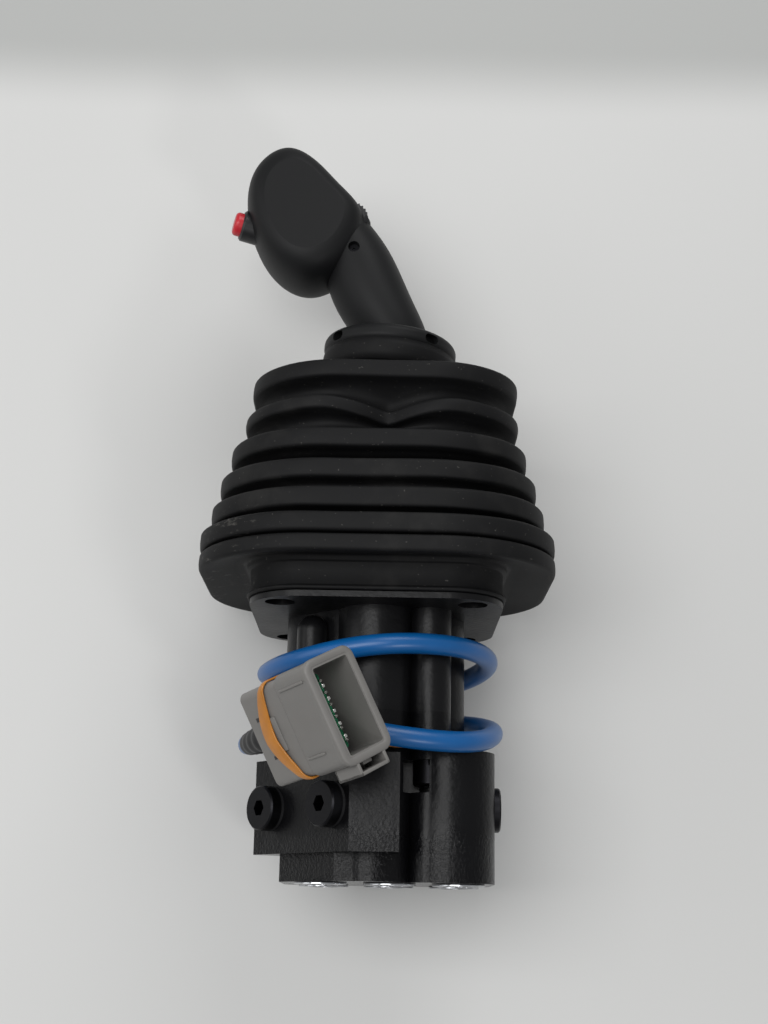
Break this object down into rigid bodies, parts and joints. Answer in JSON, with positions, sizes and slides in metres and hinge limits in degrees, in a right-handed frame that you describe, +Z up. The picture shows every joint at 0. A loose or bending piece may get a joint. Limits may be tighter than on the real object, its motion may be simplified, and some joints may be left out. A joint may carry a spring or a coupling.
{
  "type": "hydraulic pilot joystick valve",
  "caption": "Panel-mounted hydraulic pilot valve with a flanged cast body, rubber bellows, an ergonomic joystick grip with push button and thumb rocker, and a looped cable with connector.",
  "frame": {"origin": "centre of the flange's seating face on the valve's axis", "axes": "+Z up along the valve's axis, from the ports to the grip; +X towards the operator; the grip's finger button faces -X"},
  "size_m": [0.1534, 0.1729, 0.3296],
  "materials": {
    "satin_paint": "satin black paint with a fine orange peel",
    "cast_paint": "glossy black paint over rough cast iron",
    "black_steel": "black oxide steel",
    "zinc_steel": "zinc plated",
    "ground_steel": "ground",
    "spring_steel": "drawn wire",
    "bush_brass": "turned",
    "seal_rubber": "matte",
    "boot_rubber": "matte moulded rubber",
    "grip_plastic": "soft-touch matte",
    "control_plastic": "fine-grained matte",
    "button_red": "satin",
    "connector_grey": "moulded, satin",
    "wedge_green": "moulded, satin",
    "contact_metal": "nickel plated",
    "band_amber": "translucent elastic",
    "cable_blue": "smooth sheath"
  },
  "bodies": {
    "valve": {"valve_housing": "satin_paint", "port_block": "cast_paint", "port_plugs": "black_steel", "plug_seals": "seal_rubber", "clamp_screws": "black_steel", "clamp_washers": "black_steel", "retaining_plate": "zinc_steel", "plate_screws": "zinc_steel", "plunger_bushes": "bush_brass", "bush_ring_seals": "seal_rubber", "plunger_wipers": "seal_rubber", "joint_post": "ground_steel", "bellows_boot": "boot_rubber", "connector_shell": "connector_grey", "wedge_lock": "wedge_green", "contact_pins": "contact_metal", "rear_seal": "seal_rubber", "rubber_band": "band_amber", "cable": "cable_blue", "cable_gland": "seal_rubber", "return_spring_right": "spring_steel", "return_spring_back": "spring_steel", "return_spring_left": "spring_steel", "return_spring_front": "spring_steel"},
    "joint_cross": {"joint_cross": "ground_steel"},
    "lever": {"joint_yoke": "ground_steel", "cam_plate": "zinc_steel", "lock_nut": "zinc_steel", "lever_rod": "zinc_steel", "collar_ring": "grip_plastic", "grip_handle": "grip_plastic", "head_shell": "grip_plastic", "trigger_panel": "grip_plastic", "palm_cover": "grip_plastic", "grip_screws": "black_steel", "thumb_plate": "control_plastic", "rocker_pin": "ground_steel", "trigger_bezel": "control_plastic"},
    "trigger": {"trigger_button": "button_red"},
    "thumb_button": {"thumb_button": "control_plastic"},
    "rocker": {"thumb_rocker": "control_plastic"},
    "plunger_right": {"plunger_right": "ground_steel", "spring_seat_right": "zinc_steel"},
    "spool_right": {"spool_right": "ground_steel", "metering_spring_right": "spring_steel"},
    "plunger_back": {"plunger_back": "ground_steel", "spring_seat_back": "zinc_steel"},
    "spool_back": {"spool_back": "ground_steel", "metering_spring_back": "spring_steel"},
    "plunger_left": {"plunger_left": "ground_steel", "spring_seat_left": "zinc_steel"},
    "spool_left": {"spool_left": "ground_steel", "metering_spring_left": "spring_steel"},
    "plunger_front": {"plunger_front": "ground_steel", "spring_seat_front": "zinc_steel"},
    "spool_front": {"spool_front": "ground_steel", "metering_spring_front": "spring_steel"}
  },
  "joints": [
    {"name": "tilt_sideways", "type": "hinge", "parent": "valve", "child": "joint_cross", "pos_m": [0, 0, 0.034], "axis": [1, 0, 0], "range_deg": [-20, 20], "stiffness_Nm_per_rad": 5, "deforming": ["bellows_boot"]},
    {"name": "tilt_fore_aft", "type": "hinge", "parent": "joint_cross", "child": "lever", "pos_m": [0, 0, 0.034], "axis": [0, 1, 0], "range_deg": [-20, 20], "stiffness_Nm_per_rad": 5},
    {"name": "plunger_right_slide", "type": "slide", "parent": "valve", "child": "plunger_right", "axis": [0, 0, 1], "range_m": [-0.0086, 0.0086], "deforming": ["return_spring_right", "metering_spring_right"]},
    {"name": "spool_right_slide", "type": "slide", "parent": "valve", "child": "spool_right", "axis": [0, 0, 1], "range_m": [-0.0016, 0.0016]},
    {"name": "plunger_back_slide", "type": "slide", "parent": "valve", "child": "plunger_back", "axis": [0, 0, 1], "range_m": [-0.0086, 0.0086], "deforming": ["return_spring_back", "metering_spring_back"]},
    {"name": "spool_back_slide", "type": "slide", "parent": "valve", "child": "spool_back", "axis": [0, 0, 1], "range_m": [-0.0016, 0.0016]},
    {"name": "plunger_left_slide", "type": "slide", "parent": "valve", "child": "plunger_left", "axis": [0, 0, 1], "range_m": [-0.0086, 0.0086], "deforming": ["return_spring_left", "metering_spring_left"]},
    {"name": "spool_left_slide", "type": "slide", "parent": "valve", "child": "spool_left", "axis": [0, 0, 1], "range_m": [-0.0016, 0.0016]},
    {"name": "plunger_front_slide", "type": "slide", "parent": "valve", "child": "plunger_front", "axis": [0, 0, 1], "range_m": [-0.0086, 0.0086], "deforming": ["return_spring_front", "metering_spring_front"]},
    {"name": "spool_front_slide", "type": "slide", "parent": "valve", "child": "spool_front", "axis": [0, 0, 1], "range_m": [-0.0016, 0.0016]},
    {"name": "trigger_push", "type": "slide", "parent": "lever", "child": "trigger", "axis": [0.9505, 0.2601, -0.1701], "range_m": [0, 0.002], "stiffness_N_per_m": 1200},
    {"name": "thumb_button_push", "type": "slide", "parent": "lever", "child": "thumb_button", "axis": [-0.766, 0, -0.6428], "range_m": [0, 0.0012], "stiffness_N_per_m": 1200},
    {"name": "rocker_tilt", "type": "hinge", "parent": "lever", "child": "rocker", "pos_m": [-0.01514, 0, 0.1874], "axis": [0, 1, 0], "range_deg": [-14, 14], "stiffness_Nm_per_rad": 0.15}
  ],
  "couplings": [
    {"joint": "plunger_right_slide", "follows": "tilt_fore_aft", "m_per_rad": -0.024351},
    {"joint": "spool_right_slide", "follows": "tilt_fore_aft", "m_per_rad": -0.004297},
    {"joint": "plunger_back_slide", "follows": "tilt_sideways", "m_per_rad": 0.022918},
    {"joint": "spool_back_slide", "follows": "tilt_sideways", "m_per_rad": 0.004297},
    {"joint": "plunger_left_slide", "follows": "tilt_fore_aft", "m_per_rad": 0.024351},
    {"joint": "spool_left_slide", "follows": "tilt_fore_aft", "m_per_rad": 0.004297},
    {"joint": "plunger_front_slide", "follows": "tilt_sideways", "m_per_rad": -0.022918},
    {"joint": "spool_front_slide", "follows": "tilt_sideways", "m_per_rad": -0.004297}
  ]
}
